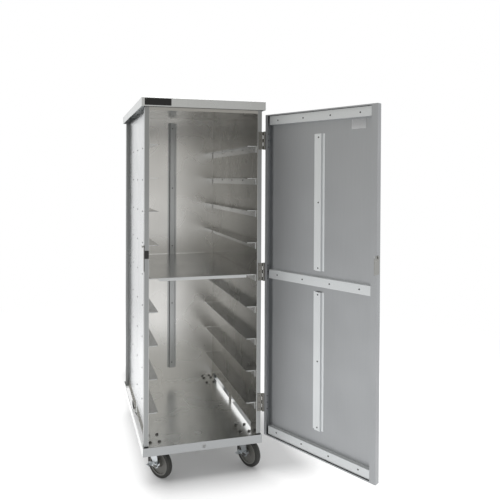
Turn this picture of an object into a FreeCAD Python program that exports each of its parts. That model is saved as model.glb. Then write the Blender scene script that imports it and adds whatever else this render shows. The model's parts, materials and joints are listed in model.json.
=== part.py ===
import FreeCAD, Part
import math
import os
import Sketcher

# Enclosed meal tray cart: a tall sheet-metal cabinet on four swivel casters, with ten tray
# levels (nine pairs of ledges and the floor), one hinged door and a latch on its free edge.
#
# Cabinet frame, in millimetres: x to the right, y into the cabinet from the front face of the
# posts, z up from the floor that the wheels stand on. The door stands open as it is used.

# ---------------------------------------------------------------- cabinet sizes
panel_gauge = 1.2             # walls, ceiling, ledges
frame_gauge = 1.5             # posts, cap, base
frame_width = 509             # over the outer faces of the posts
frame_depth = 706             # front post face to rear post face
frame_top = 1599.5            # top of the posts
bend_radius = 4               # base corners
cap_bend_radius = 2
post_width = 18               # also how far the side panels are recessed
post_depth = 25
caster_height = 149.8         # wheel contact to the underside of the floor
rim_height = 35.5             # base rim, top to bottom
rim_above_floor = 9.7
base_side_reach = 6           # base rim outside the posts
base_front_reach = 8
base_back_reach = 13
cap_skirt = 36.5              # height of the cap's sides
cap_side_reach = 14.5
cap_front_reach = 10
cap_back_reach = 21
drain_width = 19              # long drain slots beside the floor
drain_height = 32             # matching windows in the side panels
drain_end = 70                # from the post faces to a slot
drain_rear_end = 28
drain_bridge = 33             # tie between the two slots of a side
rim_hole_radius = 7.5
rim_hole_drop = 9.5           # below the floor sheet
rail_drop = 57.5              # height of the upper side rails
rail_gauge = 2
ceiling_drop = 4.5            # ceiling below the top of the posts
header_drop = 45              # front lip of the ceiling panel
header_hem = 12

ledge_pitch = 139.7           # five and a half inches
ledge_count = 9
lowest_ledge = 142.2          # floor to the top of the lowest ledge
ledge_gauge = 2
ledge_width = 42.5
ledge_wall_leg = 28
ledge_front = 15
ledge_back_gap = 8
ledge_corner = 14
shelf_level = 5               # counted from the top
shelf_gauge = 1
shelf_hem = 12
shelf_gap = 9                 # shelf edge to the side wall
shelf_back_gap = 1            # shelf to the back stiffener
hat_crown = 25                # hat-section stiffeners
hat_flange = 8.5
hat_slope = 3
hat_height = 9
back_hat_bottom = 72          # above the floor
back_hat_top = 22             # below the ceiling

# ---------------------------------------------------------------- door sizes
door_open = 119.4             # degrees, as it stands in use
pin_side = 10                 # hinge pin outside the post
pin_front = 5.5               # hinge pin in front of the post
door_gap = 3                  # door to the faces of the posts
door_overlap = 2.5            # door beyond the outer face of each post
door_depth = 25
door_gauge = 1.2
door_base_gap = 3             # above the base rim
door_cap_gap = 21             # below the cap
free_flange = 24
hinge_flange = 13
edge_flange = 5               # at the top and bottom of the door
batten_height = 36.5
batten_depth = 18
batten_hinge_gap = 19
top_batten_drop = 7
middle_batten_z = 861.5
batten_hat_gap = 24           # middle batten to each hat stiffener
upper_hat_end = 94            # below the top of the door
lower_hat_end = 103           # above the bottom of the door
batten_rivet_pitch = 125.5

leaf_gauge = 2.5
leaf_length = 76
barrel_radius = 5.5
pin_radius = 2.5
pin_play = 0.06
knuckle_gap = 0.3
leaf_screw_pitch = 28
leaf_screw_inset = 7.5
screw_head_radius = 3.7
screw_radius = 2.2
screw_length = 9
lowest_hinge = 300            # centre of each hinge above the ground
hinge_spacing = 567

latch_z = 988                 # latch pivot above the ground
latch_pivot_inset = 5         # latch pivot from the door's inner face
latch_arm = 20                # latch pivot to the stud on the post
latch_throw = 25              # degrees from open to latched
latch_plate = 3
latch_gap = 0.5               # lever to the door's edge
latch_above = 6               # lever above, below, in front of and behind its pivot
latch_below = 62
latch_front = 7
latch_back = 28
latch_corner = 4
latch_play = 0.5              # stud in the lever's slot
pivot_radius = 4
pivot_head_radius = 6
pivot_head_height = 2
stud_radius = 3
stud_head_radius = 5.5
stud_head_height = 2
stud_head_gap = 1.5
strike_gauge = 2
strike_front_width = 20
strike_front_height = 33
strike_front_drop = 16        # below the latch pivot
strike_side_height = 108
strike_side_depth = 22
strike_above = 6

# ---------------------------------------------------------------- caster sizes
caster_side = 201             # swivel axis from the middle of the cart
caster_front = 84             # swivel axis behind the front posts
caster_rear = 655
front_left_swivel = 37.5      # degrees, as the casters stand
front_right_swivel = 28
rear_swivel = 32
wheel_radius = 62.5
caster_trail = 38
tyre_width = 24
tyre_thickness = 13.5
tyre_shoulder = 7
rim_depth = 6
web_thickness = 9
hub_radius = 17
hub_width = 42
axle_radius = 6
axle_play = 0.06
axle_head_radius = 9
axle_head_height = 5
fork_gap = 44                 # between the legs
fork_gauge = 3
fork_top_width = 54
fork_end_radius = 13
crown_radius = 27
crown_gauge = 3.5
crown_clearance = 8.5          # above the tyre
race_radius = 24
race_gap = 0.3
kingpin_radius = 6
kingpin_head_radius = 10
kingpin_head_height = 3
plate_gauge = 4
plate_width = 62
plate_length = 90
bolt_spacing_x = 40
bolt_spacing_y = 64
bolt_radius = 3.9
bolt_play = 0.2
bolt_head_radius = 7
bolt_head_height = 4
pedal_gauge = 3
pedal_gap = 0.3
pedal_long_arm = 38
pedal_short_arm = 24
pedal_tab_width = 18
pedal_tab_reach = 18
pedal_boss_radius = 12

rivet_radius = 3.2
rivet_height = 1.4
ledge_rivet_drop = 9
ledge_rivet_front = 188
ledge_rivet_pitch = 166
rail_rivet_drop = 28.5
rail_rivet_pitch = 15

# Where the cabinet stands, so that the whole cart with its open door is centred on the origin.
cabinet_x = -135.55
cabinet_y = -125.8


class Size:
    """A number together with the expression that it comes from."""

    def __init__(self, value, text):
        self.value = value
        self.text = text

    def __add__(self, other):
        other = size(other)
        return Size(self.value + other.value, f"({self.text} + {other.text})")

    def __sub__(self, other):
        other = size(other)
        return Size(self.value - other.value, f"({self.text} - {other.text})")

    def __mul__(self, other):
        other = size(other)
        return Size(self.value * other.value, f"{self.text} * {other.text}")

    def __truediv__(self, other):
        other = size(other)
        return Size(self.value / other.value, f"{self.text} / {other.text}")

    def __neg__(self):
        return Size(-self.value, f"(0 - {self.text})")

    def __radd__(self, other):
        return size(other) + self

    def __rsub__(self, other):
        return size(other) - self

    def __rmul__(self, other):
        return size(other) * self


def size(number):
    return number if isinstance(number, Size) else Size(float(number), f"({float(number):.6f})")


def sine(angle):
    return Size(math.sin(math.radians(angle.value)), f"sin({angle.text})")


def cosine(angle):
    return Size(math.cos(math.radians(angle.value)), f"cos({angle.text})")


# Every number named above becomes a cell of the sheet, and from here on its name stands for
# that cell.
doc = FreeCAD.newDocument("meal_tray_cart")
sheet = doc.addObject("Spreadsheet::Sheet", "dims")
named = {name: number for name, number in globals().items() if type(number) in (int, float)}
for row, (name, number) in enumerate(named.items(), 1):
    sheet.set(f"A{row}", name)
    sheet.set(f"B{row}", str(number))
    sheet.setAlias(f"B{row}", name)
    globals()[name] = Size(float(number), f"dims.{name}")
doc.recompute()

# ---------------------------------------------------------------- shared places
zero = size(0)
outer_x = frame_width / 2
panel_x = outer_x - post_width
wall_x = panel_x - panel_gauge
floor_z = caster_height + frame_gauge
rim_top = floor_z + rim_above_floor
rim_bottom = rim_top - rim_height
base_x = outer_x + base_side_reach
base_front = -base_front_reach
base_back = frame_depth + base_back_reach
cap_top = frame_top + frame_gauge
cap_bottom = cap_top - cap_skirt
cap_x = outer_x + cap_side_reach
ceiling_z = frame_top - ceiling_drop
back_wall_y = frame_depth - panel_gauge
drain_back = frame_depth - drain_rear_end
drain_middle = (drain_end + drain_back) / 2
top_ledge_z = floor_z + lowest_ledge + ledge_pitch * (ledge_count - 1)
shelf_z = top_ledge_z - ledge_pitch * (shelf_level - 1)

# Door places, measured from the hinge pin with the door closed.
pin_x = outer_x + pin_side
pin_y = -pin_front
door_hinge_x = outer_x + door_overlap - pin_x
door_free_x = -outer_x - door_overlap - pin_x
door_inner_y = pin_front - door_gap
door_outer_y = door_inner_y - door_depth
door_bottom = rim_top + door_base_gap
door_top = cap_bottom - door_cap_gap
skin_y = door_outer_y + door_gauge
door_middle_x = (door_hinge_x + door_free_x) / 2

AXES = {"XY": "XY_Plane", "XZ": "XZ_Plane", "YZ": "YZ_Plane"}
parts = []
pockets = []


# ---------------------------------------------------------------- modelling helpers
def new_body(label, place=(zero, zero, zero), turn=None):
    """Start a sub-part. Its place is counted from the cabinet frame, its turn about z."""
    body = doc.addObject("PartDesign::Body", label)
    body.Label = label
    body.AllowCompound = True
    body.setExpression("Placement.Base.x", (cabinet_x + place[0]).text)
    body.setExpression("Placement.Base.y", (cabinet_y + place[1]).text)
    body.setExpression("Placement.Base.z", size(place[2]).text)
    body.Placement.Rotation = FreeCAD.Rotation(FreeCAD.Vector(0, 0, 1), turn.value if turn else 0)
    if turn:
        body.setExpression("Placement.Rotation.Angle", turn.text)
    parts.append(body)
    return body


def origin_item(body, role):
    return next(item for item in body.Origin.OriginFeatures if item.Role == role)


def locate(sketch, geometry, point, across, up):
    """Hold one point of a sketch at its distances from the sketch's own origin."""
    for kind, distance in (("DistanceX", across), ("DistanceY", up)):
        number = sketch.addConstraint(
            Sketcher.Constraint(kind, -1, 1, geometry, point, distance.value))
        sketch.setExpression(f"Constraints[{number}]", distance.text)


def draw_outline(sketch, corners):
    corners = [(size(across), size(up)) for across, up in corners]
    ends = [FreeCAD.Vector(across.value, up.value, 0) for across, up in corners]
    first = sketch.GeometryCount
    count = len(corners)
    for i in range(count):
        sketch.addGeometry(Part.LineSegment(ends[i], ends[(i + 1) % count]))
    for i in range(count):
        sketch.addConstraint(
            Sketcher.Constraint("Coincident", first + i, 2, first + (i + 1) % count, 1))
    for i, (across, up) in enumerate(corners):
        locate(sketch, first + i, 1, across, up)


def draw_circle(sketch, across, up, radius):
    across, up, radius = size(across), size(up), size(radius)
    centre = FreeCAD.Vector(across.value, up.value, 0)
    number = sketch.addGeometry(Part.Circle(centre, FreeCAD.Vector(0, 0, 1), radius.value))
    locate(sketch, number, 3, across, up)
    limit = sketch.addConstraint(Sketcher.Constraint("Radius", number, radius.value))
    sketch.setExpression(f"Constraints[{limit}]", radius.text)


def draw(body, plane, level, outlines=(), circles=(), centre=(zero, zero)):
    """Sketch on an origin plane of the body, moved to a level along the plane's axis."""
    sketch = body.newObject("Sketcher::SketchObject", f"{body.Name}_sketch")
    sketch.AttachmentSupport = [(origin_item(body, AXES[plane]), "")]
    sketch.MapMode = "FlatFace"
    height = -size(level) if plane == "XZ" else size(level)
    for letter, shift in zip("xyz", (size(centre[0]), size(centre[1]), height)):
        sketch.setExpression(f"AttachmentOffset.Base.{letter}", shift.text)
    for corners in outlines:
        draw_outline(sketch, corners)
    for across, up, radius in circles:
        draw_circle(sketch, across, up, radius)
    sketch.Visibility = False
    return sketch


def rectangle(x0, x1, y0, y1):
    return [(x0, y0), (x1, y0), (x1, y1), (x0, y1)]


def pad(body, plane, start, end, outlines=(), circles=(), centre=(zero, zero)):
    """Add material from one level to a higher one."""
    feature = body.newObject("PartDesign::Pad", f"{body.Name}_pad")
    feature.Profile = draw(body, plane, start, outlines, circles, centre)
    feature.setExpression("Length", (size(end) - start).text)
    feature.Reversed = plane == "XZ"
    body.Tip = feature
    return feature


def pocket(body, plane, start, end, outlines=(), circles=(), centre=(zero, zero)):
    """Take material away from one level to a higher one."""
    feature = body.newObject("PartDesign::Pocket", f"{body.Name}_pocket")
    feature.Profile = draw(body, plane, start, outlines, circles, centre)
    feature.Type = "Length"
    feature.setExpression("Length", (size(end) - start).text)
    feature.Reversed = plane != "XZ"
    body.Tip = feature
    pockets.append(feature)
    return feature


def revolve(body, plane, level, outline, centre=(zero, zero), axis="H_Axis"):
    feature = body.newObject("PartDesign::Revolution", f"{body.Name}_turned")
    sketch = draw(body, plane, level, [outline], (), centre)
    feature.Profile = sketch
    feature.ReferenceAxis = (sketch, [axis])
    feature.Angle = 360
    body.Tip = feature
    return feature


def repeat(body, axis, length, count):
    """Repeat all that a body has so far in a row along one of its own axes."""
    doc.recompute()
    pattern = body.newObject("PartDesign::LinearPattern", f"{body.Name}_row")
    pattern.TransformMode = "Whole shape"
    pattern.Direction = (origin_item(body, axis), [""])
    pattern.setExpression("Length", size(length).text)
    pattern.setExpression("Occurrences", size(count).text)
    body.Tip = pattern
    return pattern


def round_edges(body, radius, chosen):
    """Round the straight edges that a test picks out by their two end points."""
    doc.recompute()
    base = body.Tip
    names = []
    for number, edge in enumerate(base.Shape.Edges, 1):
        if len(edge.Vertexes) == 2 and isinstance(edge.Curve, Part.Line):
            if chosen(edge.Vertexes[0].Point, edge.Vertexes[1].Point):
                names.append(f"Edge{number}")
    fillet = body.newObject("PartDesign::Fillet", f"{body.Name}_rounded")
    fillet.Base = (base, names)
    fillet.setExpression("Radius", radius.text)
    body.Tip = fillet
    return fillet


def upright(a, b):
    return abs(a.x - b.x) < 1e-6 and abs(a.y - b.y) < 1e-6


def near(value, target):
    return abs(value - target.value) < 1e-6


def mirrored(side, x0, x1):
    """The same pair of x places on the left (-1) or the right (+1) of the cabinet."""
    return (x0, x1) if side > 0 else (-x1, -x0)


# ---------------------------------------------------------------- cap, ceiling and base
top_cap = new_body("top_cap")
pad(top_cap, "XY", cap_bottom, cap_top,
    [rectangle(-cap_x, cap_x, -cap_front_reach, frame_depth + cap_back_reach)])
round_edges(top_cap, cap_bend_radius, lambda a, b: upright(a, b) or (near(a.z, cap_top) and near(b.z, cap_top)))
pocket(top_cap, "XY", cap_bottom, frame_top,
       [rectangle(-cap_x + frame_gauge, cap_x - frame_gauge, -cap_front_reach + frame_gauge,
                  frame_depth + cap_back_reach - frame_gauge)])

ceiling = new_body("ceiling_panel")
pad(ceiling, "YZ", -wall_x, wall_x,
    [[(0, ceiling_z - header_drop), (header_hem, ceiling_z - header_drop),
      (header_hem, ceiling_z - header_drop + panel_gauge),
      (panel_gauge, ceiling_z - header_drop + panel_gauge), (panel_gauge, ceiling_z),
      (back_wall_y, ceiling_z), (back_wall_y, ceiling_z + panel_gauge),
      (0, ceiling_z + panel_gauge)]])

drain_outer = base_x - frame_gauge
drain_inner = drain_outer - drain_width
drain_spans = ((drain_end, drain_middle - drain_bridge / 2),
               (drain_middle + drain_bridge / 2, drain_back))
caster_spots = {
    "front_left": (-caster_side, caster_front, front_left_swivel),
    "front_right": (caster_side, caster_front, front_right_swivel),
    "rear_left": (-caster_side, caster_rear, rear_swivel),
    "rear_right": (caster_side, caster_rear, rear_swivel),
}
bolt_offsets = [(a * bolt_spacing_x / 2, b * bolt_spacing_y / 2) for a in (-1, 1) for b in (-1, 1)]

base = new_body("base_pan")
pad(base, "XY", rim_bottom, rim_top, [rectangle(-base_x, base_x, base_front, base_back)])
round_edges(base, bend_radius, upright)
inner_base = rectangle(-drain_outer, drain_outer, base_front + frame_gauge, base_back - frame_gauge)
pocket(base, "XY", rim_bottom, caster_height, [inner_base])
pocket(base, "XY", floor_z, rim_top, [inner_base])
pocket(base, "XY", caster_height, floor_z,
       [rectangle(*mirrored(side, drain_inner, drain_outer), y0, y1)
        for side in (-1, 1) for y0, y1 in drain_spans],
       [(x + dx, y + dy, bolt_radius + bolt_play)
        for x, y, turn in caster_spots.values() for dx, dy in bolt_offsets])
pocket(base, "XZ", base_front, base_front + frame_gauge, (),
       [(0, floor_z - rim_hole_drop, rim_hole_radius)])

# ---------------------------------------------------------------- posts, rails and walls
hinge_zs = [lowest_hinge + hinge_spacing * i for i in range(3)]
screw_x = outer_x - leaf_screw_inset
for side, side_name in ((-1, "left"), (1, "right")):
    for end_name, front in (("front", True), ("rear", False)):
        post = new_body(f"{end_name}_{side_name}_post")
        y_face = zero if front else frame_depth
        y_open = post_depth if front else frame_depth - post_depth
        step = frame_gauge if front else -frame_gauge
        channel = [(panel_x, y_face), (outer_x, y_face), (outer_x, y_open),
                   (outer_x - frame_gauge, y_open), (outer_x - frame_gauge, y_face + step),
                   (panel_x + frame_gauge, y_face + step), (panel_x + frame_gauge, y_open),
                   (panel_x, y_open)]
        pad(post, "XY", floor_z, frame_top, [[(side * x, y) for x, y in channel]])
        if front and side > 0:
            pocket(post, "XZ", 0, frame_gauge, (),
                   [(screw_x, z + i * leaf_screw_pitch, screw_radius)
                    for z in hinge_zs for i in (-1, 0, 1)])

    panel = new_body(f"{side_name}_side_panel")
    spans = [0, *drain_spans[0], *drain_spans[1], frame_depth]
    outline = [(0, floor_z)]
    for y0, y1 in drain_spans:
        outline += [(y0, floor_z), (y0, floor_z + drain_height), (y1, floor_z + drain_height),
                    (y1, floor_z)]
    outline += [(frame_depth, floor_z), (frame_depth, frame_top), (0, frame_top)]
    pad(panel, "YZ", *mirrored(side, wall_x, panel_x), [outline])

    rail = new_body(f"{side_name}_upper_rail")
    pad(rail, "YZ", *mirrored(side, panel_x, panel_x + rail_gauge),
        [rectangle(post_depth, frame_depth - post_depth, frame_top - rail_drop, frame_top)])

back = new_body("back_panel")
pad(back, "XZ", back_wall_y, frame_depth,
    [rectangle(-wall_x, wall_x, floor_z, ceiling_z + panel_gauge)])


def hat_profile(middle, surface, direction):
    """Cross-section of a hat stiffener that stands out of a sheet's surface along +y or -y."""
    half = hat_crown / 2
    foot = half + hat_slope
    inner = [(foot + hat_flange, 0), (foot + hat_flange, panel_gauge), (foot, panel_gauge),
             (half, hat_height), (-half, hat_height), (-foot, panel_gauge),
             (-foot - hat_flange, panel_gauge), (-foot - hat_flange, 0), (-foot + panel_gauge, 0),
             (-half + panel_gauge, hat_height - panel_gauge),
             (half - panel_gauge, hat_height - panel_gauge), (foot - panel_gauge, 0)]
    return [(middle + x, surface + direction * size(y)) for x, y in inner]


back_hat = new_body("back_stiffener")
pad(back_hat, "XY", floor_z + back_hat_bottom, ceiling_z - back_hat_top,
    [hat_profile(zero, back_wall_y, -1)])

# ---------------------------------------------------------------- tray ledges and shelf
ledge_back = back_wall_y - ledge_back_gap
ledge_inner = wall_x - ledge_width
for side, side_name in ((-1, "left"), (1, "right")):
    ledges = new_body(f"{side_name}_tray_ledges")
    low = floor_z + lowest_ledge
    profile = [(wall_x, low), (ledge_inner, low), (ledge_inner, low - ledge_gauge),
               (wall_x - ledge_gauge, low - ledge_gauge), (wall_x - ledge_gauge, low - ledge_wall_leg),
               (wall_x, low - ledge_wall_leg)]
    pad(ledges, "XZ", ledge_front, ledge_back, [[(side * x, z) for x, z in profile]])
    round_edges(ledges, ledge_corner, lambda a, b: upright(a, b) and near(abs(a.x), ledge_inner))
    repeat(ledges, "Z_Axis", ledge_pitch * (ledge_count - 1), ledge_count)

shelf_x = wall_x - shelf_gap
shelf_back = back_wall_y - hat_height - shelf_back_gap
shelf = new_body("middle_shelf")
pad(shelf, "XY", shelf_z, shelf_z + shelf_gauge,
    [rectangle(-shelf_x, shelf_x, ledge_front, shelf_back)])
pad(shelf, "XZ", ledge_front, ledge_front + shelf_gauge,
    [rectangle(-ledge_inner + 0.5, ledge_inner - 0.5, shelf_z - shelf_hem + shelf_gauge, shelf_z)])

# ---------------------------------------------------------------- door
door_place = (pin_x, pin_y, zero)
skin = new_body("door_skin", door_place, door_open)
pad(skin, "XY", door_bottom, door_top, [[
    (door_hinge_x - hinge_flange, door_inner_y), (door_hinge_x, door_inner_y),
    (door_hinge_x, door_outer_y), (door_free_x, door_outer_y), (door_free_x, door_inner_y),
    (door_free_x + free_flange, door_inner_y),
    (door_free_x + free_flange, door_inner_y - door_gauge),
    (door_free_x + door_gauge, door_inner_y - door_gauge), (door_free_x + door_gauge, skin_y),
    (door_hinge_x - door_gauge, skin_y), (door_hinge_x - door_gauge, door_inner_y - door_gauge),
    (door_hinge_x - hinge_flange, door_inner_y - door_gauge)]])
for z0, z1, lip0, lip1 in (
        (door_bottom, door_bottom + door_gauge, door_bottom, door_bottom + edge_flange),
        (door_top - door_gauge, door_top, door_top - edge_flange, door_top)):
    pad(skin, "XY", z0, z1, [rectangle(door_free_x, door_hinge_x, door_outer_y, door_inner_y)])
    pad(skin, "XY", lip0, lip1,
        [rectangle(door_free_x, door_hinge_x, door_inner_y - door_gauge, door_inner_y)])

batten_x0 = door_free_x + free_flange + 1
batten_x1 = door_hinge_x - batten_hinge_gap
batten_face = skin_y + batten_depth
batten_zs = {
    "upper": door_top - top_batten_drop - batten_height,
    "middle": middle_batten_z - batten_height / 2,
    "lower": door_bottom + edge_flange,
}
for name, z in batten_zs.items():
    batten = new_body(f"{name}_door_batten", door_place, door_open)
    z1 = z + batten_height
    pad(batten, "YZ", batten_x0, batten_x1, [[
        (skin_y, z), (batten_face, z), (batten_face, z1), (skin_y, z1),
        (skin_y, z1 - panel_gauge), (batten_face - panel_gauge, z1 - panel_gauge),
        (batten_face - panel_gauge, z + panel_gauge), (skin_y, z + panel_gauge)]])

middle_top = batten_zs["middle"] + batten_height
hat_spans = {
    "upper": (middle_top + batten_hat_gap, door_top - upper_hat_end),
    "lower": (door_bottom + lower_hat_end, batten_zs["middle"] - batten_hat_gap),
}
for name, (z0, z1) in hat_spans.items():
    hat = new_body(f"{name}_door_stiffener", door_place, door_open)
    pad(hat, "XY", z0, z1, [hat_profile(door_middle_x, skin_y, 1)])

# ---------------------------------------------------------------- hinges
knuckle = leaf_length / 5
leaf_low = lowest_hinge - leaf_length / 2
hinge_row = (hinge_spacing * 2, 3)
leaf_screws = [lowest_hinge + i * leaf_screw_pitch for i in (-1, 0, 1)]
door_screw_y = door_outer_y + leaf_screw_inset + 2
root = barrel_radius + knuckle_gap * 2


def knuckles(leaf, odd, link):
    """Barrel pieces of one leaf, with the strip that ties each to the leaf's plate."""
    for i in range(odd, 5, 2):
        z0 = leaf_low + knuckle * i + knuckle_gap / 2
        z1 = leaf_low + knuckle * (i + 1) - knuckle_gap / 2
        pad(leaf, "XY", z0, z1, [link])
        pad(leaf, "XY", z0, z1, (), [(0, 0, barrel_radius)])


frame_leaf = new_body("hinge_frame_leaves", (pin_x, pin_y, zero))
pad(frame_leaf, "XY", leaf_low, leaf_low + leaf_length,
    [rectangle(-pin_side - leaf_screw_inset * 2, -root, pin_front - leaf_gauge, pin_front)])
knuckles(frame_leaf, 0, rectangle(-root, 0, pin_front - leaf_gauge, pin_front))
pocket(frame_leaf, "XY", leaf_low, leaf_low + leaf_length, (), [(0, 0, pin_radius)])
for depth, radius in ((leaf_gauge, screw_radius), (leaf_gauge / 2, screw_head_radius)):
    pocket(frame_leaf, "XZ", pin_front - leaf_gauge, pin_front - leaf_gauge + depth, (),
           [(screw_x - pin_x, z, radius) for z in leaf_screws])
repeat(frame_leaf, "Z_Axis", *hinge_row)

door_leaf = new_body("hinge_door_leaves", door_place, door_open)
door_leaf_x = door_hinge_x + leaf_gauge
pad(door_leaf, "XY", leaf_low, leaf_low + leaf_length,
    [rectangle(door_hinge_x, door_leaf_x, door_outer_y + 2, leaf_gauge / 2 - barrel_radius)])
knuckles(door_leaf, 1, rectangle(door_hinge_x, 0, -barrel_radius, leaf_gauge - barrel_radius))
pocket(door_leaf, "XY", leaf_low, leaf_low + leaf_length, (), [(0, 0, pin_radius + pin_play)])
for depth, radius in ((leaf_gauge, screw_radius), (leaf_gauge / 2, screw_head_radius)):
    pocket(door_leaf, "YZ", door_leaf_x - depth, door_leaf_x, (),
           [(door_screw_y, z, radius) for z in leaf_screws])
repeat(door_leaf, "Z_Axis", *hinge_row)
pocket(skin, "YZ", door_hinge_x - door_gauge, door_hinge_x, (),
       [(door_screw_y, z + i * leaf_screw_pitch, screw_radius) for z in hinge_zs for i in (-1, 0, 1)])

pins = new_body("hinge_pins", (pin_x, pin_y, zero))
pad(pins, "XY", leaf_low, leaf_low + leaf_length, (), [(0, 0, pin_radius)])
for z in (leaf_low - leaf_gauge / 2, leaf_low + leaf_length):
    pad(pins, "XY", z, z + leaf_gauge / 2, (), [(0, 0, barrel_radius - 1)])
repeat(pins, "Z_Axis", *hinge_row)

slack = size(0.05)
frame_screws = new_body("frame_hinge_screws")
screw_spots = [(screw_x, z) for z in leaf_screws]
pad(frame_screws, "XZ", -leaf_gauge / 2 - slack, screw_length - leaf_gauge, (),
    [(x, z, screw_radius - slack) for x, z in screw_spots])
pad(frame_screws, "XZ", -leaf_gauge, -leaf_gauge / 2 - slack, (),
    [(x, z, screw_head_radius - slack) for x, z in screw_spots])
repeat(frame_screws, "Z_Axis", *hinge_row)

door_screws = new_body("door_hinge_screws", door_place, door_open)
pad(door_screws, "YZ", door_leaf_x - screw_length, door_leaf_x - leaf_gauge / 2 + slack, (),
    [(door_screw_y, z, screw_radius - slack) for z in leaf_screws])
pad(door_screws, "YZ", door_leaf_x - leaf_gauge / 2 + slack, door_leaf_x, (),
    [(door_screw_y, z, screw_head_radius - slack) for z in leaf_screws])
repeat(door_screws, "Z_Axis", *hinge_row)

# ---------------------------------------------------------------- latch
# The lever lies against the door's free edge and reaches back beside the post. Its slot lets
# the stud on the post in from behind, and an arc round the pivot then holds it.
latch_y = door_inner_y - latch_pivot_inset
lever_x1 = door_free_x - latch_gap
lever_x0 = lever_x1 - latch_plate
slot_half = stud_radius + latch_play
lever = new_body("latch_lever", door_place, door_open)
pad(lever, "YZ", lever_x0, lever_x1,
    [rectangle(latch_y - latch_front, latch_y + latch_back, latch_z - latch_below,
               latch_z + latch_above)])
round_edges(lever, latch_corner, lambda a, b: near(a.y, Size(b.y, "")) and near(a.z, Size(b.z, "")))
pocket(lever, "YZ", lever_x0, lever_x1, (), [(latch_y, latch_z, pivot_radius + pin_play)])
pocket(lever, "YZ", lever_x0, lever_x1,
       [rectangle(latch_y + latch_arm, latch_y + latch_back, latch_z - slot_half,
                  latch_z + slot_half)])
steps = [-latch_throw * i / 4 for i in range(5)]
pocket(lever, "YZ", lever_x0, lever_x1,
       [[(latch_y + reach * cosine(step), latch_z + reach * sine(step))
         for reach, order in ((latch_arm + slot_half, steps), (latch_arm - slot_half, steps[::-1]))
         for step in order]])
for angle in (steps[0], steps[-1]):
    pocket(lever, "YZ", lever_x0, lever_x1, (),
           [(latch_y + latch_arm * cosine(angle), latch_z + latch_arm * sine(angle), slot_half)])

pivot = new_body("latch_pivot", door_place, door_open)
pivot_head_x = lever_x0 - knuckle_gap
pad(pivot, "YZ", pivot_head_x, door_free_x, (), [(latch_y, latch_z, pivot_radius)])
pad(pivot, "YZ", pivot_head_x - pivot_head_height, pivot_head_x, (),
    [(latch_y, latch_z, pivot_head_radius)])

strike = new_body("latch_strike")
strike_x = -outer_x - strike_gauge
stud_y = latch_y - pin_front + latch_arm
stud_head_x = pin_x + lever_x0 - stud_head_gap
pad(strike, "XY", latch_z + strike_above - strike_side_height, latch_z + strike_above,
    [rectangle(strike_x, -outer_x, -strike_gauge, strike_side_depth)])
pad(strike, "XZ", -strike_gauge, 0,
    [rectangle(strike_x + strike_gauge / 2, strike_x + strike_front_width,
               latch_z - strike_front_drop - strike_front_height, latch_z - strike_front_drop)])
pad(strike, "YZ", stud_head_x, strike_x, (), [(stud_y, latch_z, stud_radius)])
pad(strike, "YZ", stud_head_x - stud_head_height, stud_head_x, (),
    [(stud_y, latch_z, stud_head_radius)])

# ---------------------------------------------------------------- casters
axle_y = -caster_trail
crown_low = wheel_radius * 2 + crown_clearance
crown_top = crown_low + crown_gauge
plate_low = caster_height - plate_gauge
leg_inner = fork_gap / 2
leg_outer = leg_inner + fork_gauge
fork_back = axle_y + 2
fork_front = fork_back + fork_top_width
rim_outer = wheel_radius - tyre_thickness
rim_inner = rim_outer - rim_depth


def hexagon(x, y, radius):
    return [(x + radius * across, y + radius * along)
            for across, along in ((1, 0), (0.5, 0.866), (-0.5, 0.866), (-1, 0), (-0.5, -0.866),
                                  (0.5, -0.866))]


def caster_plate(name, x, y):
    plate = new_body(f"{name}_caster_plate", (x, y, zero))
    pad(plate, "XY", plate_low, caster_height,
        [rectangle(-plate_width / 2, plate_width / 2, -plate_length / 2, plate_length / 2)])
    pad(plate, "XY", crown_top + race_gap, plate_low, (), [(0, 0, race_radius)])
    pad(plate, "XY", crown_low - race_gap - kingpin_head_height, crown_top + race_gap, (),
        [(0, 0, kingpin_radius)])
    pad(plate, "XY", crown_low - race_gap - kingpin_head_height, crown_low - race_gap, (),
        [(0, 0, kingpin_head_radius)])
    pocket(plate, "XY", plate_low, caster_height, (),
           [(dx, dy, bolt_radius + bolt_play) for dx, dy in bolt_offsets])


def caster_fork(name, place, turn):
    fork = new_body(f"{name}_caster_fork", place, turn)
    pad(fork, "XY", crown_low, crown_top, (), [(0, 0, crown_radius)])
    pad(fork, "XY", crown_low, crown_top,
        [rectangle(-leg_outer, leg_outer, fork_back, fork_front)])
    for side in (-1, 1):
        x0, x1 = mirrored(side, leg_inner, leg_outer)
        pad(fork, "YZ", x0, x1, [[(fork_back, crown_top), (axle_y - fork_end_radius, wheel_radius),
                                  (axle_y + fork_end_radius, wheel_radius),
                                  (fork_front, crown_low - fork_end_radius), (fork_front, crown_top)]])
        pad(fork, "YZ", x0, x1, (), [(axle_y, wheel_radius, fork_end_radius)])
    pocket(fork, "XY", crown_low, crown_top, (), [(0, 0, kingpin_radius + axle_play)])
    for side in (-1, 1):
        pocket(fork, "YZ", *mirrored(side, leg_inner, leg_outer), (), [(axle_y, wheel_radius, axle_radius)])


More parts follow.
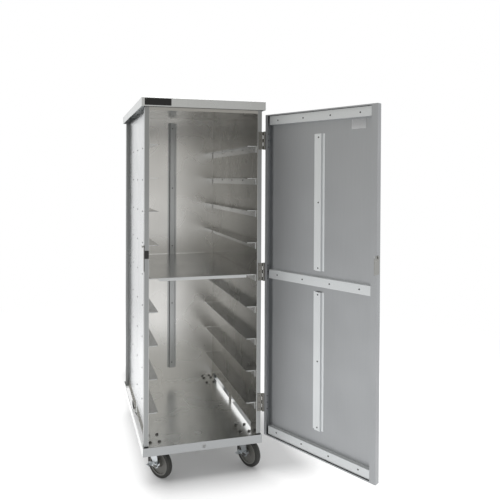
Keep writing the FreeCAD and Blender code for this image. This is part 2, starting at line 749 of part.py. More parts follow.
def caster_wheel(name, place, turn):
    core = new_body(f"{name}_wheel_core", place, turn)
    rim_x = tyre_width / 2 - 1
    hub_x = hub_width / 2
    web_x = web_thickness / 2
    revolve(core, "XZ", axle_y, [
        (-hub_x, axle_radius + axle_play), (hub_x, axle_radius + axle_play), (hub_x, hub_radius),
        (web_x, hub_radius), (web_x, rim_inner), (rim_x, rim_inner), (rim_x, rim_outer),
        (-rim_x, rim_outer), (-rim_x, rim_inner), (-web_x, rim_inner), (-web_x, hub_radius),
        (-hub_x, hub_radius)], (0, wheel_radius))
    tyre = new_body(f"{name}_tyre", place, turn)
    half = tyre_width / 2
    low = wheel_radius - tyre_shoulder
    cut = tyre_shoulder * 0.3
    revolve(tyre, "XZ", axle_y, [
        (-half, rim_outer), (half, rim_outer), (half, low), (half - cut, wheel_radius - cut),
        (half - tyre_shoulder, wheel_radius), (tyre_shoulder - half, wheel_radius),
        (cut - half, wheel_radius - cut), (-half, low)], (0, wheel_radius))


def caster_axle(name, place, turn, brake):
    axle = new_body(f"{name}_axle", place, turn)
    left = leg_outer + pedal_gauge + pedal_gap * 2 if brake else leg_outer
    pad(axle, "YZ", -left, leg_outer, (), [(axle_y, wheel_radius, axle_radius)])
    pad(axle, "YZ", -left - axle_head_height, -left,
        [hexagon(axle_y, wheel_radius, axle_head_radius)])
    pad(axle, "YZ", leg_outer, leg_outer + axle_head_height,
        [hexagon(axle_y, wheel_radius, axle_head_radius)])


def brake_pedal(name, place, turn):
    pedal = new_body(f"{name}_brake_pedal", place, turn)
    x1 = -leg_outer - pedal_gap
    x0 = x1 - pedal_gauge
    boss = pedal_boss_radius
    long_y = axle_y + pedal_long_arm
    short_y = axle_y - pedal_short_arm
    long_z = wheel_radius - pedal_gauge
    short_z = wheel_radius + pedal_boss_radius + pedal_gauge
    pad(pedal, "YZ", x0, x1, (), [(axle_y, wheel_radius, boss)])
    pad(pedal, "YZ", x0, x1, [[
        (axle_y, wheel_radius + boss), (short_y, short_z + pedal_gauge), (short_y, short_z - boss / 2),
        (axle_y, wheel_radius - boss), (long_y, long_z - pedal_gauge), (long_y, long_z + boss / 2)]])
    tab_x = x0 - pedal_tab_reach
    pad(pedal, "XY", long_z - pedal_gauge, long_z,
        [rectangle(tab_x, x1, long_y - pedal_tab_width, long_y)])
    pad(pedal, "XY", short_z, short_z + pedal_gauge,
        [rectangle(tab_x, x1, short_y, short_y + pedal_tab_width)])
    pocket(pedal, "XY", short_z, short_z + pedal_gauge,
           [rectangle(tab_x + 5, x0 - 4, short_y + 7, short_y + 11)])
    pocket(pedal, "YZ", x0, x1, (), [(axle_y, wheel_radius, axle_radius + axle_play)])


for name, (x, y, turn) in caster_spots.items():
    braked = name.startswith("front")
    place = (x, y, zero)
    caster_plate(name, x, y)
    caster_fork(name, place, turn)
    caster_axle(name, place, turn, braked)
    caster_wheel(name, place, turn)
    if braked:
        brake_pedal(name, place, turn)

bolts = new_body("caster_bolts")
bolt_spots = [(x + dx, y + dy) for x, y, turn in caster_spots.values() for dx, dy in bolt_offsets]
pad(bolts, "XY", plate_low - bolt_head_height * 1.5, floor_z, (), [(x, y, bolt_radius) for x, y in bolt_spots])
pad(bolts, "XY", floor_z, floor_z + bolt_head_height, [hexagon(x, y, bolt_head_radius) for x, y in bolt_spots])
pad(bolts, "XY", plate_low - bolt_head_height, plate_low, [hexagon(x, y, bolt_head_radius) for x, y in bolt_spots])

# ---------------------------------------------------------------- rivets
rivet_ys = [ledge_rivet_front + i * ledge_rivet_pitch for i in range(3)]
for side, side_name in ((-1, "left"), (1, "right")):
    heads = new_body(f"{side_name}_ledge_rivets")
    pad(heads, "YZ", *mirrored(side, panel_x, panel_x + rivet_height), (),
        [(y, floor_z + lowest_ledge - ledge_rivet_drop, rivet_radius) for y in rivet_ys])
    repeat(heads, "Z_Axis", ledge_pitch * (ledge_count - 1), ledge_count)

# ---------------------------------------------------------------- checks and files
doc.recompute()
for item in doc.Objects:
    if "Invalid" in item.State or "Error" in item.State:
        raise RuntimeError(f"{item.Name} did not compute: {item.State}")
for feature in pockets:
    if feature.Shape.Volume >= feature.BaseFeature.Shape.Volume - 1e-3:
        raise RuntimeError(f"{feature.Name} took nothing away")
os.makedirs("parts", exist_ok=True)
whole = FreeCAD.BoundBox()
for body in parts:
    if body.Shape.isNull() or not body.Shape.isValid():
        raise RuntimeError(f"{body.Label} has no valid shape")
    whole.add(body.Shape.BoundBox)
    body.Shape.exportStep(os.path.join("parts", f"{body.Label}.step"))
print(f"{len(parts)} sub-parts, {whole.XLength:.1f} x {whole.YLength:.1f} x {whole.ZLength:.1f} mm")
print(f"middle at {whole.Center.x:.2f}, {whole.Center.y:.2f}, lowest point {whole.ZMin:.3f}")
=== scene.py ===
# %% [markdown]
# # An enclosed meal tray cart
# A tall cabinet of bright sheet metal on four swivel casters, with ledges for meal trays inside
# and one door on three hinges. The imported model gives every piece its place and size. This script
# adds what the solids leave out: the finish of the metal, rubber and plastic, the dimpled heads
# of the rivets, two bare plates, the floor, the light and the camera.

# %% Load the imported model
import bmesh
import bpy
import json
import math
from mathutils import Matrix, Vector


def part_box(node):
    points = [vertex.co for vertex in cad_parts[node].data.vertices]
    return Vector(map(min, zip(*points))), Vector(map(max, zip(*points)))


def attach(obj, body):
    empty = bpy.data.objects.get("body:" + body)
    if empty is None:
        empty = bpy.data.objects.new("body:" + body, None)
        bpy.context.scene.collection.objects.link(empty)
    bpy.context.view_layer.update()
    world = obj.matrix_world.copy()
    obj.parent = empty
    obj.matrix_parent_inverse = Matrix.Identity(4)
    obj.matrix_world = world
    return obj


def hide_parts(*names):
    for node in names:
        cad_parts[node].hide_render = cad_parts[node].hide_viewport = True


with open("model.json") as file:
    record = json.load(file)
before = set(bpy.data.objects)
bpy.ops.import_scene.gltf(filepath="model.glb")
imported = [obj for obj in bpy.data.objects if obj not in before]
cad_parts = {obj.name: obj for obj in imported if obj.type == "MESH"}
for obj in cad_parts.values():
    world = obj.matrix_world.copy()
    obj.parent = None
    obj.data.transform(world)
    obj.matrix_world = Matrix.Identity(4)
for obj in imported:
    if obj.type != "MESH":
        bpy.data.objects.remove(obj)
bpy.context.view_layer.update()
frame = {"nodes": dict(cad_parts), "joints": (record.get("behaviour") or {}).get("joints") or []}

nodes = frame["nodes"]
MM = 0.001
print("nodes loaded:", len(nodes))

# %% [markdown]
# ## Places to measure from
# Every new piece is placed in one of two frames. The cabinet's counts from its own middle and
# from the front of its posts. The door's stands at the hinge pins and is turned as far as the
# door stands open, so a rivet on the door is written down as if the door were shut.

# %% The cabinet's and the door's frames
cap_low, cap_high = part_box("top_cap")
post_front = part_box("front_left_post")[0].y
cabinet = Matrix.Translation(((cap_low.x + cap_high.x) / 2, post_front, 0))
joints = {joint["name"]: joint for joint in frame["joints"]}

hinge = Vector(joints["door_swing"]["pos_m"])
door_open = -joints["door_swing"]["range_deg"][0]
door = Matrix.Translation((hinge.x, hinge.y, 0)) @ Matrix.Rotation(math.radians(door_open), 4, "Z")

CASTERS = ("front_left", "front_right", "rear_left", "rear_right")
print("door stands open", door_open, "degrees")

# %% [markdown]
# ## The camera
# The photograph was taken at about chest height, left of the cart. The camera's place, its turn
# and its focal length were fitted to the corners of the cabinet. The lens shift puts the cart
# where it sits in the frame without tilting its upright edges.

# %% Camera
EYE = Vector((-0.5598, -2.1103, 1.2703))
YAW, PITCH, ROLL = 13.89, 0.51, -0.22
FOCAL_PIXELS, FRAME_PIXELS = 518.33, 500
CENTRE_PIXEL = (196.03, 182.92)
SENSOR = 36
FAR_CLIP = 100

camera = bpy.data.objects.new("camera", bpy.data.cameras.new("camera"))
bpy.context.scene.collection.objects.link(camera)
bpy.context.scene.camera = camera
camera.matrix_world = (
    cabinet
    @ Matrix.Translation(EYE)
    @ Matrix.Rotation(math.radians(-YAW), 4, "Z")
    @ Matrix.Rotation(math.radians(90 - PITCH), 4, "X")
    @ Matrix.Rotation(math.radians(-ROLL), 4, "Z")
)
camera.data.sensor_width = SENSOR
camera.data.lens = SENSOR * FOCAL_PIXELS / FRAME_PIXELS
camera.data.shift_x = (FRAME_PIXELS / 2 - CENTRE_PIXEL[0]) / FRAME_PIXELS
camera.data.shift_y = (CENTRE_PIXEL[1] - FRAME_PIXELS / 2) / FRAME_PIXELS
camera.data.clip_end = FAR_CLIP
print("camera lens", round(camera.data.lens, 1), "mm")


# %% [markdown]
# ## Helpers for materials
# Colours are written as they look on a screen, in hex, and one function turns them into the
# linear values that the shader wants. Another small function adds one node, sets its fields and
# joins its inputs. A few more name the steps that come back in every material, so that each
# material below reads from top to bottom.

# %% Colour and node helpers
def colour(text):
    values = [int(text[i:i + 2], 16) / 255 for i in (1, 3, 5)]
    linear = [v / 12.92 if v <= 0.04045 else ((v + 0.055) / 1.055) ** 2.4 for v in values]
    return (*linear, 1)


def add(tree, kind, settings=None, inputs=None):
    """Add a node. An input goes by name or number, and is a value or another node's output."""
    node = tree.nodes.new(kind)
    for name, value in (settings or {}).items():
        setattr(node, name, value)
    for name, value in (inputs or {}).items():
        if isinstance(value, bpy.types.NodeSocket):
            tree.links.new(value, node.inputs[name])
        else:
            node.inputs[name].default_value = value
    return node


def new_material(name):
    material = bpy.data.materials.new(name)
    material.use_nodes = True
    return material, material.node_tree, material.node_tree.nodes["Principled BSDF"]


def step(tree, operation, *values):
    """One step of arithmetic."""
    node = add(tree, "ShaderNodeMath", {"operation": operation}, dict(enumerate(values)))
    return node.outputs["Value"]


def vector_step(tree, operation, *values):
    node = add(tree, "ShaderNodeVectorMath", {"operation": operation}, dict(enumerate(values)))
    return node.outputs["Value" if operation in ("LENGTH", "DOT_PRODUCT") else "Vector"]


def carry(tree, value, start, end, low=0.0, high=1.0, smooth=False):
    """Carry a value from the range start to end over to low to high, and hold it past the ends."""
    settings = {"interpolation_type": "SMOOTHSTEP" if smooth else "LINEAR"}
    node = add(tree, "ShaderNodeMapRange", settings,
               {"Value": value, "From Min": start, "From Max": end, "To Min": low, "To Max": high})
    return node.outputs["Result"]


def mixed(tree, share, first, second, kind="RGBA"):
    """first where share is 0 and second where it is 1."""
    node = add(tree, "ShaderNodeMix", {"data_type": kind},
               {"Factor": share, "A": first, "B": second})
    return node.outputs["Result"]


def noise(tree, place, scale, detail):
    node = add(tree, "ShaderNodeTexNoise",
               inputs={"Vector": place, "Scale": scale, "Detail": detail})
    return node.outputs["Fac"]


def varied(tree, share, text, amount):
    """The hex colour, from a little darker to a little lighter as share goes from 0 to 1."""
    tone = colour(text)[:3]
    darker = (*[v * (1 - amount) for v in tone], 1)
    lighter = (*[min(1, v * (1 + amount)) for v in tone], 1)
    return mixed(tree, share, darker, lighter)


def emboss(tree, shader, height, strength, depth):
    bump = add(tree, "ShaderNodeBump",
               inputs={"Height": height, "Strength": strength, "Distance": depth})
    tree.links.new(bump.outputs["Normal"], shader.inputs["Normal"])


print("node helpers ready")

# %% [markdown]
# ## Sheet metal
# The cabinet is folded from bright stainless sheet, rolled and lightly polished but not brushed.
# Seen up close it is a soft mirror: it gives back the floor, the background and the cart's own
# ledges a little blurred. The rolls leave faint streaks along the sheet, and handling leaves
# cloudy patches where the gloss changes. Streaks are noise stretched forty times along the
# rolling direction; real ones are a few tenths of a millimetre wide, and here they are drawn 3 mm
# wide so that they show. The patches are noise about 150 mm across that only moves the roughness.
#
# Some sheets have two tones, such as a panel that is brighter outside than inside, which is
# painted shade, or a ledge whose front edge is a painted highlight. One material does both: it
# asks whether a point lies beyond a plane, such as the middle of the sheet.

# %% Sheet metal material
STREAK = 3 * MM
STREAK_DEPTH = 0.2 * MM
STREAK_STRENGTH = 0.06
PATCH = 150 * MM
PATCH_RANGE = (0.3, 0.7)
UPRIGHT = (1, 1, 40)
INTO_CABINET = (1, 40, 1)
ACROSS = (40, 1, 1)


def beyond(tree, place, axis, limit, mirror=None):
    """1 where a point lies further along axis than limit, counted from the plane mirror, else 0."""
    reach = vector_step(tree, "DOT_PRODUCT", place, axis)
    if mirror is not None:
        reach = step(tree, "ABSOLUTE", step(tree, "SUBTRACT", reach, mirror))
    return step(tree, "GREATER_THAN", reach, limit)


def sheet_metal(name, tint, roughness, along=UPRIGHT, streak=0.05, patch=0.03, metallic=1.0,
                other=None, where=None):
    """other is (tint, roughness, metallic) of a second finish, and where says which part has it."""
    material, tree, shader = new_material(name)
    place = add(tree, "ShaderNodeTexCoord").outputs["Object"]
    scale = [1 / (STREAK * length) for length in along]
    stretched = add(tree, "ShaderNodeMapping", inputs={"Vector": place, "Scale": scale})
    streaks = noise(tree, stretched.outputs["Vector"], 1.0, 2.0)
    patches = noise(tree, place, 1 / PATCH, 1.0)
    finishes = [(tint, roughness, metallic)] + ([other] if other else [])
    tones = [varied(tree, streaks, text, streak) for text, _, _ in finishes]
    glosses = [carry(tree, patches, *PATCH_RANGE, rough - patch, rough + patch)
               for _, rough, _ in finishes]
    if other:
        second = beyond(tree, place, *where)
        tones = [mixed(tree, second, *tones)]
        glosses = [mixed(tree, second, *glosses, kind="FLOAT")]
    tree.links.new(tones[0], shader.inputs["Base Color"])
    tree.links.new(glosses[0], shader.inputs["Roughness"])
    if other and other[2] != metallic:
        tree.links.new(carry(tree, second, 0, 1, metallic, other[2]), shader.inputs["Metallic"])
    else:
        shader.inputs["Metallic"].default_value = metallic
    emboss(tree, shader, streaks, STREAK_STRENGTH, STREAK_DEPTH)
    return material


# %% The planes where a sheet or a plate changes its finish
SIDEWAYS = (1, 0, 0)
FRONTWARD = (0, -1, 0)
WALL_MIDDLE = 235.9 * MM        # middle of a side panel, from the cabinet's middle
LEDGE_HIGHLIGHT_EDGE = 20 * MM            # behind the ledges' front edge, which is painted near white as a highlight
RIM_FRONT = -6 * MM             # between the base rim's front and the floor behind it
DOOR_SHEET_MIDDLE = -21.9 * MM  # middle of the door's sheet, from the hinge pins

door_inward = door.to_3x3() @ Vector((0, 1, 0))
door_middle = (door @ Vector((0, DOOR_SHEET_MIDDLE, 0))).dot(door_inward)
outside_walls = (SIDEWAYS, WALL_MIDDLE, cabinet.translation.x)
ledge_highlight_fronts = (FRONTWARD, -(post_front + LEDGE_HIGHLIGHT_EDGE))
rim_front = (FRONTWARD, -(post_front + RIM_FRONT))
strike_front = (FRONTWARD, -post_front)
inside_door = (door_inward, door_middle)
print("the door faces inwards along", [round(value, 3) for value in door_inward])

# %% The finishes of the cabinet's and the door's sheets
# Painted shade: the side panel's inside is tinted darker than its outside, at the same gloss, for
# the shade and dark reflections inside the cabinet.
side_sheet = sheet_metal("side panel sheet, painted shade inside and bright outside", "#ACABA7",
                         0.26, other=("#D6D8D9", 0.26, 1.0), where=outside_walls)
back_sheet = sheet_metal("stainless sheet of the back", "#DAD9D6", 0.28)
# Painted shade: the back stiffener is tinted darker than the back sheet, for the shadow lines and
# dark reflections along its sides.
back_hat_sheet = sheet_metal("stainless back stiffener", "#B2B4B4", 0.3, metallic=0.85)
ceiling_sheet = sheet_metal("stainless ceiling sheet", "#B4B3AF", 0.26, along=INTO_CABINET)
base_sheet = sheet_metal("stainless base sheet, bright floor and duller rim", "#F4F5F4", 0.26,
                         along=INTO_CABINET, other=("#A6A8A9", 0.22, 1.0), where=rim_front)
# Painted highlight: the ledges' front edge, up to 20 mm behind the posts' front, is near white and
# almost matt, standing in for the light that its rounded edge catches.
ledge_sheet = sheet_metal("stainless ledge strip, ground front edge", "#CFD0D0", 0.24,
                          along=INTO_CABINET, other=("#F6F8F8", 0.4, 0.1), where=ledge_highlight_fronts)
skin_sheet = sheet_metal("door sheet, polished outside and mill finish inside", "#D2D4D5", 0.3,
                         streak=0.04, other=("#A9ABAD", 0.42, 1.0), where=inside_door)
batten_sheet = sheet_metal("stainless door batten", "#DDE0E1", 0.34, along=ACROSS, metallic=0.7)
hat_sheet = sheet_metal("stainless door stiffener", "#E4E7E8", 0.34, metallic=0.7)
cap_sheet = sheet_metal("stainless cap sheet", "#D2D4D4", 0.28)
post_sheet = sheet_metal("stainless post sheet", "#989A9A", 0.3)
strike_sheet = sheet_metal("strike plate with a dark coated front block", "#A6A6A3", 0.36,
                           other=("#2A2A29", 0.4, 0.0), where=strike_front)

finish_of = {
    side_sheet: ["left_side_panel", "right_side_panel", "left_upper_rail", "right_upper_rail"],
    back_sheet: ["back_panel"],
    back_hat_sheet: ["back_stiffener"],
    ceiling_sheet: ["ceiling_panel"],
    base_sheet: ["base_pan"],
    ledge_sheet: ["middle_shelf", "left_tray_ledges", "right_tray_ledges"],
    skin_sheet: ["door_skin"],
    batten_sheet: ["upper_door_batten", "middle_door_batten", "lower_door_batten"],
    hat_sheet: ["upper_door_stiffener", "lower_door_stiffener"],
    cap_sheet: ["top_cap"],
    post_sheet: ["front_left_post", "front_right_post", "rear_left_post", "rear_right_post"],
    strike_sheet: ["latch_strike"],
}
print("sheet finishes:", len(finish_of))


# %% [markdown]
# ## Small metal, rubber and plastic
# The caster plates and forks are zinc plated steel, a little bluish, and the hinges are duller.
# Screws and rivets are darker and rougher, which makes them show as small grey dots. The tyres
# are grey-black rubber and the wheel centres moulded nylon. All have an even fine grain: specks
# that shift the colour a little and raise the surface by a tenth of a millimetre or so.

# %% Grained finishes
GRAIN_SPREAD = 0.12
GRAIN_STRENGTH = 0.3
METAL_GRAIN = 0.1 * MM
RUBBER_GRAIN = 0.2 * MM
SMOOTH_GRAIN = 0.02 * MM


def grained(name, tint, roughness, metallic, speck, depth=METAL_GRAIN):
    """A finish with a fine grain: speck is the size of one speck and depth its height."""
    material, tree, shader = new_material(name)
    specks = noise(tree, add(tree, "ShaderNodeTexCoord").outputs["Object"], 1 / speck, 4.0)
    tree.links.new(varied(tree, specks, tint, GRAIN_SPREAD), shader.inputs["Base Color"])
    emboss(tree, shader, specks, GRAIN_STRENGTH, depth)
    shader.inputs["Roughness"].default_value = roughness
    shader.inputs["Metallic"].default_value = metallic
    return material


plated_steel = grained("zinc plated pressed steel", "#C9CDD0", 0.32, 1.0, 4 * MM)
hinge_steel = grained("dull plated hinge steel", "#777672", 0.26, 1.0, 3 * MM)
screw_steel = grained("plated screw steel", "#6E6E6C", 0.4, 1.0, 1 * MM)
rivet_steel = grained("set rivet head", "#2E3032", 0.5, 0.3, 1 * MM)
latch_steel = grained("latch lever, satin plated", "#9A9A97", 0.36, 1.0, 2 * MM)
tyre_rubber = grained("moulded tyre rubber", "#383836", 0.62, 0.0, 1.5 * MM, RUBBER_GRAIN)
wheel_nylon = grained("moulded grey nylon", "#83827E", 0.45, 0.0, 2 * MM)

finish_of.update({
    plated_steel: [f"{name}_{part}" for name in CASTERS for part in ("caster_plate", "caster_fork")]
                  + ["front_left_brake_pedal", "front_right_brake_pedal"],
    hinge_steel: ["hinge_frame_leaves", "hinge_door_leaves", "hinge_pins"],
    screw_steel: ["frame_hinge_screws", "door_hinge_screws", "caster_bolts"]
                 + [f"{name}_axle" for name in CASTERS],
    rivet_steel: ["left_ledge_rivets", "right_ledge_rivets"],
    latch_steel: ["latch_lever", "latch_pivot"],
    tyre_rubber: [f"{name}_tyre" for name in CASTERS],
    wheel_nylon: [f"{name}_wheel_core" for name in CASTERS],
})

# %% Give every node of the model its finish
undressed = set(nodes)
for material, names in finish_of.items():
    for name in names:
        nodes[name].data.materials.clear()
        nodes[name].data.materials.append(material)
        undressed.discard(name)
print("nodes still undressed:", sorted(undressed))


# %% [markdown]
# ## A helper for new pieces
# A piece is modelled in the frame of what carries it and moved into the cart's frame in its own
# mesh, so its object stays at the origin, as the model's nodes do. The normals are recalculated
# once it is whole, because a mirrored or turned place can leave them pointing inwards.

# %% Finish a bmesh as a piece of the cart
def finish_piece(mesh, name, body, material, place=cabinet):
    bmesh.ops.transform(mesh, matrix=place, verts=mesh.verts)
    bmesh.ops.recalc_face_normals(mesh, faces=mesh.faces)
    data = bpy.data.meshes.new(name)
    mesh.to_mesh(data)
    mesh.free()
    data.materials.append(material)
    piece = bpy.data.objects.new(name, data)
    bpy.context.scene.collection.objects.link(piece)
    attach(piece, body)
    print(name, "has", len(data.polygons), "faces")
    return piece


# %% [markdown]
# ## Rivets
# Pop rivets hold the ledges, rails and stiffeners. Each shows as a low dome with a dimple where
# its mandrel broke off. There are well over a hundred, so one dome has only a few dozen faces:
# a cone for the flange, with a smaller, inverted cone pressed into its top. A rivet's axis is
# given by the face it sits on.

# %% A row of rivet heads in one mesh
RIVET_RADIUS = 3.2 * MM
RIVET_HEIGHT = 1.4 * MM
RIVET_SIDES = 14
RIVET_TOP = 0.72      # radius of the top over that of the foot
DIMPLE_RIM = 0.35     # width of the rim round the dimple, over the rivet's radius
DIMPLE_DEPTH = 0.35   # over the rivet's height


def rivet_heads(mesh, spots, outward):
    """Add a head at each spot, standing out of the sheet along outward."""
    outward = Vector(outward)
    turn = Vector((0, 0, 1)).rotation_difference(outward).to_matrix().to_4x4()
    for spot in spots:
        place = Matrix.Translation(Vector(spot) + outward * RIVET_HEIGHT / 2) @ turn
        head = bmesh.ops.create_cone(mesh, cap_ends=True, segments=RIVET_SIDES,
                                     radius1=RIVET_RADIUS, radius2=RIVET_RADIUS * RIVET_TOP,
                                     depth=RIVET_HEIGHT, matrix=place)
        top = max({face for corner in head["verts"] for face in corner.link_faces},
                  key=lambda face: face.calc_center_median().dot(outward))
        bmesh.ops.inset_individual(mesh, faces=[top], thickness=RIVET_RADIUS * DIMPLE_RIM,
                                   depth=-RIVET_HEIGHT * DIMPLE_DEPTH)


# %% Rivets of the ledges, inside and outside, and of the upper rails
LEDGE_PITCH = 139.7 * MM
LEDGES = 9
LOWEST_LEDGE = 293.5 * MM
LEDGE_RIVET_DROP = 9 * MM
RIVET_COLUMNS = (188 * MM, 354 * MM, 520 * MM)
PANEL_OUTSIDE = 236.5 * MM
LEDGE_INSIDE = 233.2 * MM
RAIL_OUTSIDE = 238.5 * MM
RAIL_RIVET_HEIGHTS = (1556 * MM, 1571 * MM)

ledge_heights = [LOWEST_LEDGE - LEDGE_RIVET_DROP + i * LEDGE_PITCH for i in range(LEDGES)]


def wall_spots(x, heights):
    return [(x, y, z) for y in RIVET_COLUMNS for z in heights]


for side, side_name in ((-1, "left"), (1, "right")):
    outer = bmesh.new()
    rivet_heads(outer, wall_spots(side * PANEL_OUTSIDE, ledge_heights), (side, 0, 0))
    heads = finish_piece(outer, f"{side_name}_ledge_rivet_heads", "cabinet", rivet_steel)
    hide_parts(f"{side_name}_ledge_rivets")
    inner = bmesh.new()
    rivet_heads(inner, wall_spots(side * LEDGE_INSIDE, ledge_heights), (-side, 0, 0))
    rivet_heads(inner, wall_spots(side * RAIL_OUTSIDE, RAIL_RIVET_HEIGHTS), (side, 0, 0))
    finish_piece(inner, f"{side_name}_wall_rivets", "cabinet", rivet_steel)

# %% Rivets of the back stiffener, on its crown inside the cabinet
BACK_HAT_CROWN = 695.8 * MM
BACK_RIVET_HEIGHTS = (253 * MM, 581 * MM, 898 * MM, 1216 * MM, 1543 * MM)

back_heads = bmesh.new()
rivet_heads(back_heads, [(0, BACK_HAT_CROWN, z) for z in BACK_RIVET_HEIGHTS], FRONTWARD)
finish_piece(back_heads, "back_stiffener_rivets", "cabinet", rivet_steel)

# %% Rivets of the door's battens and stiffeners, in the door's frame
BATTEN_FACE = -3.3 * MM
BATTEN_COLUMNS = (-69.5 * MM, -196.5 * MM, -322.5 * MM, -449.5 * MM)
BATTEN_MIDDLES = (1516.7 * MM, 861.5 * MM, 190.5 * MM)
HAT_FACE = -12.3 * MM
HAT_COLUMN = -264.5 * MM
HAT_RIVET_HEIGHTS = (1435 * MM, 1176 * MM, 915 * MM, 809 * MM, 543 * MM, 279 * MM)
DOOR_INWARD = (0, 1, 0)

door_heads = bmesh.new()
rivet_heads(door_heads, [(x, BATTEN_FACE, z) for x in BATTEN_COLUMNS for z in BATTEN_MIDDLES],
            DOOR_INWARD)
rivet_heads(door_heads, [(HAT_COLUMN, HAT_FACE, z) for z in HAT_RIVET_HEIGHTS], DOOR_INWARD)
finish_piece(door_heads, "door_rivets", "door", rivet_steel, door)

# %% [markdown]
# ## Two bare plates
# A black name plate sits on the cap's front corner and a small pale label inside the door. Both
# are left bare here. Each is a thin sheet with rounded corners: the short edges of a flat box are
# bevelled, and then its rim, which catches a line of light.

# %% A thin plate with rounded corners
CORNER_STEPS = 4
RIM_STEPS = 2
RIM_SHARE = 0.25      # of the plate's thickness
SHARP_ANGLE = 1.2     # radians between two faces


def thin_plate(name, middle, width, height, thickness, corner, body, material, place):
    mesh = bmesh.new()
    size = Matrix.Diagonal((width, thickness, height, 1))
    bmesh.ops.create_cube(mesh, size=1, matrix=Matrix.Translation(middle) @ size)
    corners = [e for e in mesh.edges if abs(e.verts[0].co.y - e.verts[1].co.y) > thickness / 2]
    bmesh.ops.bevel(mesh, geom=corners, offset=corner, offset_type="OFFSET", affect="EDGES",
                    segments=CORNER_STEPS, profile=0.5, material=-1)
    rims = [e for e in mesh.edges if abs(e.calc_face_angle(0)) > SHARP_ANGLE]
    bmesh.ops.bevel(mesh, geom=rims, offset=thickness * RIM_SHARE, offset_type="OFFSET",
                    affect="EDGES", segments=RIM_STEPS, profile=0.5, material=-1)
    return finish_piece(mesh, name, body, material, place)


# %% The name plate and the label
PLATE_THICKNESS = 1.2 * MM
LABEL_THICKNESS = 0.4 * MM
CAP_FRONT = -10 * MM
LABEL_DEPTH = -21 * MM
name_plate_middle = (-201.3 * MM, CAP_FRONT - PLATE_THICKNESS / 2, 1583.5 * MM)
label_middle = (-434.5 * MM, LABEL_DEPTH, 1476.5 * MM)

gloss_black = grained("gloss black plate", "#0B0B0A", 0.22, 0.0, 2 * MM, SMOOTH_GRAIN)
label_film = grained("pale label film", "#F2F3F3", 0.5, 0.0, 2 * MM, SMOOTH_GRAIN)
thin_plate("name_plate", name_plate_middle, 111 * MM, 29 * MM, PLATE_THICKNESS, 1.5 * MM,
           "cabinet", gloss_black, cabinet)
thin_plate("door_label", label_middle, 60 * MM, 37 * MM, LABEL_THICKNESS, 2 * MM,
           "door", label_film, door)

# %% [markdown]
# ## Floor, background and light
# The cart stands on a plain white studio floor in front of a white background. The floor is one
# large plane. It glows a little where the camera or the metal looks at it, and fades into the
# white background with distance. A soft rectangle is left out of the glow, which paints a soft
# shadow there, and the cart's own shadow shows there too. It reaches further behind the cart and
# to its right than to the front left.
#
# The world is white behind the cart and grey on the camera's side, as a studio is, because bright
# metal is only as bright as what it reflects: the left side gives back the white background, and
# the posts and the door the darker room.

# %% Studio floor
FLOOR_WHITE = "#D8D8D8"
FLOOR_ROUGHNESS = 0.6
FLOOR_SIZE = 30
FLOOR_GLOW = 0.62
FADE_DISTANCE = (1.2, 3.0)
CABINET_MIDDLE = 0.355
SHADE_MIDDLE = (0.14, 0.63)
SHADE_HALF = (0.28, 0.6)
SHADE_EDGE = (-0.05, 0.2)
WHITE = (1, 1, 1, 1)
BLACK = (0, 0, 0, 1)


def on_floor(x, y):
    return (cabinet.translation.x + x, cabinet.translation.y + y, 0)


def seen_by(tree, *kinds):
    """1 for a ray of any of these kinds, else 0."""
    rays = add(tree, "ShaderNodeLightPath").outputs
    answer = rays[kinds[0]]
    for kind in kinds[1:]:
        answer = step(tree, "MAXIMUM", answer, rays[kind])
    return answer


floor_paint, tree, shader = new_material("studio floor paint")
spot = add(tree, "ShaderNodeTexCoord").outputs["Object"]
away = vector_step(tree, "LENGTH", vector_step(tree, "SUBTRACT", spot, on_floor(0, CABINET_MIDDLE)))
far = carry(tree, away, *FADE_DISTANCE, smooth=True)
# Painted shadow: the glow fades out in a soft rectangle under and behind the cart.
from_shade = vector_step(tree, "SUBTRACT", spot, on_floor(*SHADE_MIDDLE))
past_half = vector_step(tree, "SUBTRACT", vector_step(tree, "ABSOLUTE", from_shade),
                        (*SHADE_HALF, 0))
past_shade = vector_step(tree, "LENGTH", vector_step(tree, "MAXIMUM", past_half, (0, 0, 0)))
open_floor = carry(tree, past_shade, *SHADE_EDGE, smooth=True)
glow = step(tree, "MULTIPLY", carry(tree, far, 0, 1, FLOOR_GLOW, 1), open_floor)
seen = seen_by(tree, "Is Camera Ray", "Is Glossy Ray", "Is Transmission Ray")
tree.links.new(step(tree, "MULTIPLY", glow, seen), shader.inputs["Emission Strength"])
tree.links.new(mixed(tree, far, colour(FLOOR_WHITE), BLACK), shader.inputs["Base Color"])
shader.inputs["Emission Color"].default_value = WHITE
shader.inputs["Roughness"].default_value = FLOOR_ROUGHNESS
shader.inputs["Specular IOR Level"].default_value = 0.0

floor_mesh = bmesh.new()
bmesh.ops.create_grid(floor_mesh, x_segments=1, y_segments=1, size=FLOOR_SIZE)
floor_data = bpy.data.meshes.new("studio_floor")
floor_mesh.to_mesh(floor_data)
floor_mesh.free()
floor_data.materials.append(floor_paint)
floor = bpy.data.objects.new("studio_floor", floor_data)
bpy.context.scene.collection.objects.link(floor)
print("floor laid,", 2 * FLOOR_SIZE, "m wide")

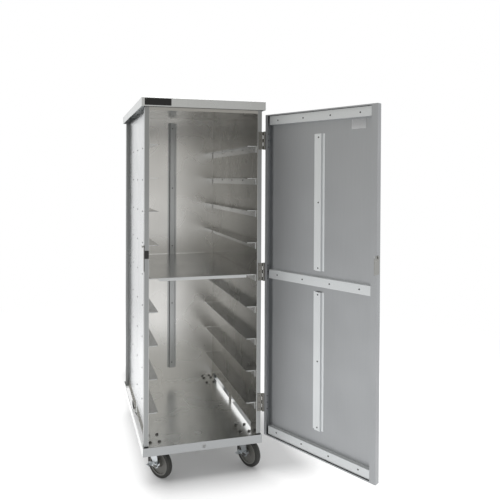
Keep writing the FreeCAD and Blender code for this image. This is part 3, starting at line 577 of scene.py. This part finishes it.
# %% World: white for the camera, a studio for the metal, a soft grey for everything matt
TOWARDS_BACKDROP = (0.5, 0.87, 0)
BACKDROP_EDGE = (-0.1, 0.5)
RIGHT_EDGE = (0.05, 0.5)
ROOM = (0.68, 0.67, 0.645, 1)
ROOM_RIGHT = (0.5, 0.49, 0.47, 1)
MATT_GREY = (0.6, 0.6, 0.6, 1)

world = bpy.data.worlds.new("studio")
bpy.context.scene.world = world
world.use_nodes = True
sky = world.node_tree
sky.nodes.clear()
direction = add(sky, "ShaderNodeTexCoord").outputs["Generated"]
behind = carry(sky, vector_step(sky, "DOT_PRODUCT", direction, TOWARDS_BACKDROP),
               *BACKDROP_EDGE, smooth=True)
rightward = add(sky, "ShaderNodeSeparateXYZ", inputs={"Vector": direction}).outputs["X"]
room = mixed(sky, carry(sky, rightward, *RIGHT_EDGE, smooth=True), ROOM, ROOM_RIGHT)
studio = mixed(sky, behind, room, WHITE)
by_metal = mixed(sky, seen_by(sky, "Is Glossy Ray", "Is Transmission Ray"), MATT_GREY, studio)
by_camera = mixed(sky, seen_by(sky, "Is Camera Ray"), by_metal, WHITE)
glow = add(sky, "ShaderNodeBackground", inputs={"Color": by_camera, "Strength": 1.0})
add(sky, "ShaderNodeOutputWorld", inputs={"Surface": glow.outputs["Background"]})
print("world nodes:", len(sky.nodes))

# %% Overhead soft box
SOFT_BOX_PLACE = Vector((-0.2, 0.3, 3.8))
SOFT_BOX_WIDTH, SOFT_BOX_DEPTH = 3.0, 2.4
SOFT_BOX_POWER = 70

lamp = bpy.data.lights.new("overhead soft box", "AREA")
lamp.shape = "RECTANGLE"
lamp.size, lamp.size_y = SOFT_BOX_WIDTH, SOFT_BOX_DEPTH
lamp.energy = SOFT_BOX_POWER
soft_box = bpy.data.objects.new("overhead soft box", lamp)
soft_box.location = SOFT_BOX_PLACE
soft_box.rotation_mode = "QUATERNION"
soft_box.rotation_quaternion = (-SOFT_BOX_PLACE).to_track_quat("-Z", "Y")
bpy.context.scene.collection.objects.link(soft_box)
bpy.context.scene.view_settings.view_transform = "Standard"
print("soft box of", SOFT_BOX_POWER, "W")
